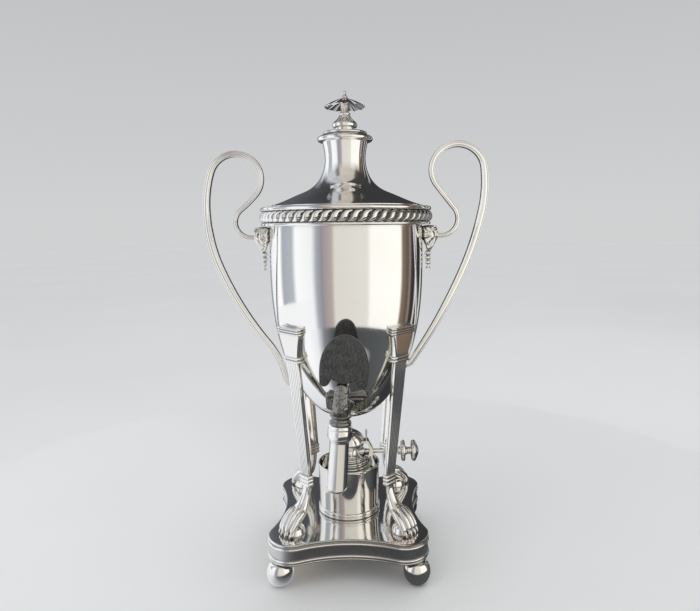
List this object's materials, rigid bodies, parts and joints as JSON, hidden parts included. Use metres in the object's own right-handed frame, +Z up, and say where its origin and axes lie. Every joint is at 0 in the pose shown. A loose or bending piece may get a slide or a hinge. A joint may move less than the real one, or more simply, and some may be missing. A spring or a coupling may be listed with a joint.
{
  "type": "tea urn",
  "caption": "Vase-shaped hot water urn on paw legs, with a tap, loop handles, a lift-off lid and a spirit lamp below.",
  "frame": {"origin": "on the table, on the axis of the bowl", "axes": "+Z up, -Y towards the tap, +X towards the lamp's wick key"},
  "size_m": [0.2857, 0.1914, 0.455],
  "materials": {
    "silver_plate": "polished silver plate",
    "silver_cast": "cast, polished on its high places and dark in its hollows",
    "silver_lamp": "silver plate, handled and slightly tarnished",
    "bare_brass": "plain turned",
    "ebonised_wood": "ebonised, satin",
    "wick_cotton": "woven cotton"
  },
  "bodies": {
    "urn": {"plinth": "silver_plate", "plinth_beads": "silver_plate", "base_plate": "bare_brass", "ball_feet": "silver_plate", "foot_nuts": "bare_brass", "leg_front_left": "silver_plate", "leg_front_right": "silver_plate", "leg_back_right": "silver_plate", "leg_back_left": "silver_plate", "paw_front_left": "silver_cast", "paw_front_right": "silver_cast", "paw_back_right": "silver_cast", "paw_back_left": "silver_cast", "paw_screws": "bare_brass", "bowl": "silver_plate", "rim_band": "silver_plate", "gadroon_border": "silver_cast", "rim_moulding": "silver_plate", "handle_left": "silver_plate", "handle_right": "silver_plate", "handle_mount_left": "silver_cast", "handle_mount_right": "silver_cast", "husk_drop_left": "silver_cast", "husk_drop_right": "silver_cast", "handle_socket_left": "silver_plate", "handle_socket_right": "silver_plate", "tap_boss": "silver_cast", "tap_pipe": "silver_plate", "tap_body": "silver_plate"},
    "lid": {"lid_shell": "silver_plate", "lid_bezel": "silver_plate", "lid_collar": "silver_plate", "finial_stem": "silver_cast", "finial_parasol": "silver_cast", "finial_tip": "silver_cast", "finial_nut": "bare_brass"},
    "tap_key": {"tap_plug": "bare_brass", "key_shank": "silver_cast", "key_handle": "ebonised_wood", "key_pin": "bare_brass"},
    "lamp": {"lamp_cup": "silver_lamp", "lamp_reservoir": "bare_brass", "wick_tube": "bare_brass", "lamp_cover": "silver_lamp", "lamp_neck": "silver_lamp", "snuffer_lug": "silver_lamp", "snuffer_pin": "bare_brass"},
    "wick_key": {"wick_rod": "silver_lamp", "wick_pinion": "bare_brass", "wick_knob": "silver_lamp"},
    "wick_lift": {"wick": "wick_cotton", "wick_carrier": "bare_brass"},
    "snuffer": {"snuffer_cap": "silver_lamp", "snuffer_arm": "silver_lamp"}
  },
  "joints": [
    {"name": "lid_lift", "type": "slide", "parent": "urn", "child": "lid", "axis": [0, 0, 1], "range_m": [0, 0.09]},
    {"name": "tap_turn", "type": "hinge", "parent": "urn", "child": "tap_key", "pos_m": [-0.0052, -0.095, 0.146], "axis": [0.0654, 0, 0.9979], "range_deg": [0, 90]},
    {"name": "lamp_slide", "type": "slide", "parent": "urn", "child": "lamp", "axis": [1, 0, 0], "range_m": [0, 0.115]},
    {"name": "wick_turn", "type": "hinge", "parent": "lamp", "child": "wick_key", "pos_m": [0, -0.002, 0.0956], "axis": [1, 0, 0], "range_deg": [-85, 85]},
    {"name": "wick_travel", "type": "slide", "parent": "lamp", "child": "wick_lift", "axis": [0, 0, 1], "range_m": [-0.003, 0.003]},
    {"name": "snuffer_open", "type": "hinge", "parent": "lamp", "child": "snuffer", "pos_m": [0.0215, 0, 0.091], "axis": [0, 1, 0], "range_deg": [0, 60]}
  ],
  "couplings": [
    {"joint": "wick_travel", "follows": "wick_turn", "m_per_rad": 0.002}
  ]
}
